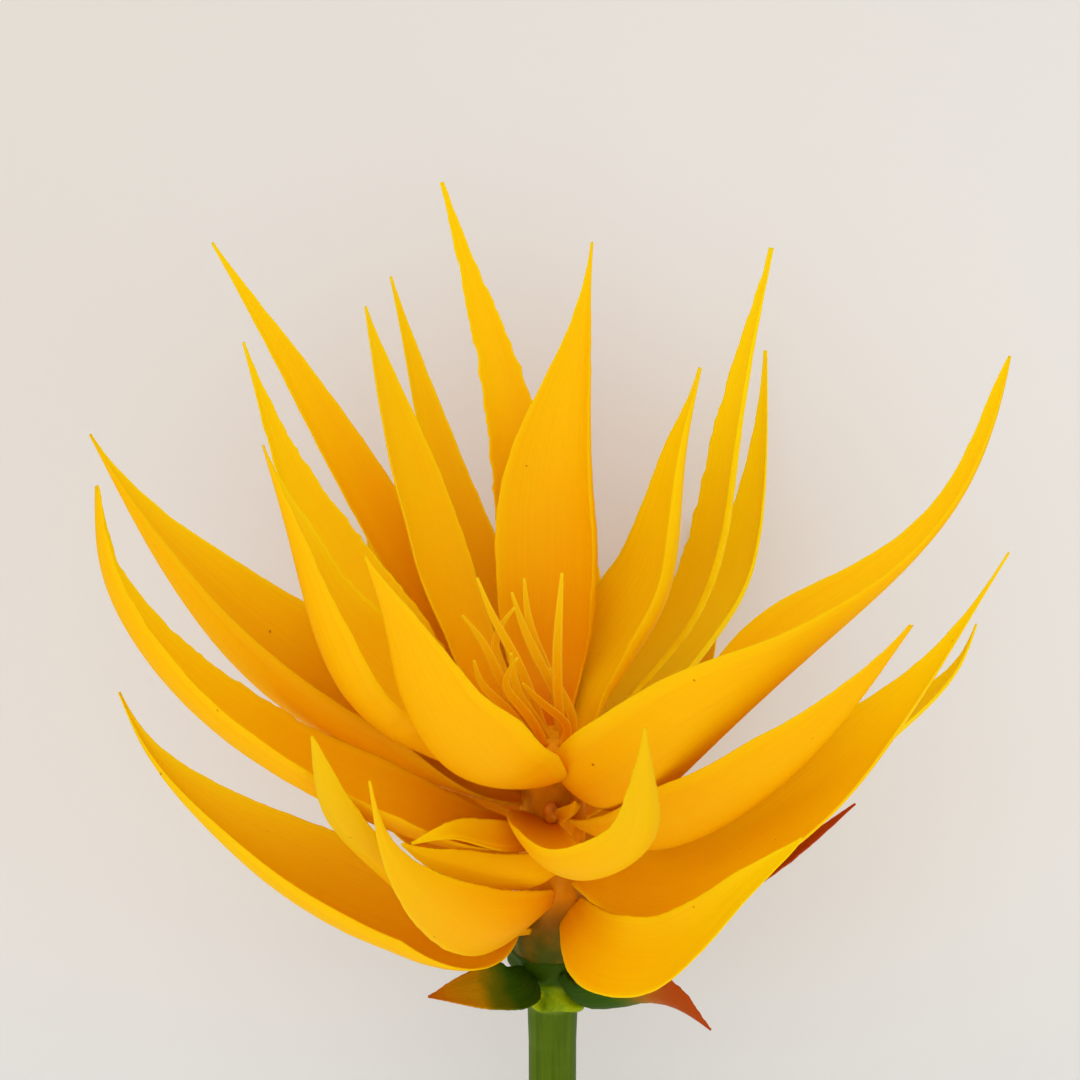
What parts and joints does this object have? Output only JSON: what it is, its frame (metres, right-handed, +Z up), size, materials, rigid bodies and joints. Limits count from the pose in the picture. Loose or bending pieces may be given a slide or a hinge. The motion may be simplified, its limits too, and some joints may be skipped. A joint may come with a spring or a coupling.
{
  "type": "ginger flower",
  "caption": "Cut yellow ginger flower lying on its side, with tiers of long pointed petals, green sepals and a smooth round stem.",
  "frame": {"origin": "on the surface that the flower lies on, under the middle of its bounding box", "axes": "+Y along the flower from the cut end of the stem to the petal tips, +Z up from the surface, +X to the right as seen from above with the stem towards the viewer"},
  "size_m": [0.1376, 0.25, 0.0952],
  "materials": {
    "petal": "waxy fresh petal, deep yellow at the tips and amber in the hollows, with fine lengthwise veins",
    "filament": "soft amber filament, paler at its edges",
    "receptacle": "matt orange-brown flower core",
    "calyx": "bright green calyx, darker in its folds",
    "sepal": "green sepal turning olive and red-brown towards its tip",
    "bud": "small amber bud",
    "stem": "smooth fresh green stem with a soft shine"
  },
  "bodies": {
    "root": {"bud": "bud", "calyx": "calyx", "filament_01": "filament", "filament_02": "filament", "filament_03": "filament", "filament_04": "filament", "filament_05": "filament", "filament_06": "filament", "filament_07": "filament", "filament_08": "filament", "filament_09": "filament", "filament_10": "filament", "filament_11": "filament", "filament_12": "filament", "petal_lower_back_1": "petal", "petal_lower_back_2": "petal", "petal_lower_back_3": "petal", "petal_lower_back_4": "petal", "petal_lower_back_5": "petal", "petal_lower_front": "petal", "petal_lower_front_left": "petal", "petal_lower_front_right": "petal", "petal_lower_front_sliver": "petal", "petal_lower_left": "petal", "petal_lower_right": "petal", "petal_lower_right_upper": "petal", "petal_middle_back_1": "petal", "petal_middle_back_2": "petal", "petal_middle_back_3": "petal", "petal_middle_back_4": "petal", "petal_middle_back_5": "petal", "petal_middle_front": "petal", "petal_middle_front_left": "petal", "petal_middle_front_low": "petal", "petal_middle_front_short": "petal", "petal_middle_left": "petal", "petal_middle_right_folded": "petal", "petal_upper_back": "petal", "petal_upper_back_left": "petal", "petal_upper_back_right": "petal", "petal_upper_back_short": "petal", "petal_upper_curled_left": "petal", "petal_upper_front": "petal", "petal_upper_front_right": "petal", "petal_upper_inner_back": "petal", "petal_upper_inner_left": "petal", "petal_upper_inner_right": "petal", "petal_upper_left": "petal", "petal_upper_outer_left": "petal", "petal_upper_right": "petal", "receptacle": "receptacle", "sepal_back_left": "sepal", "sepal_back_right": "sepal", "sepal_front": "sepal", "sepal_front_left": "sepal", "sepal_right": "sepal", "stem": "stem"}
  },
  "joints": []
}
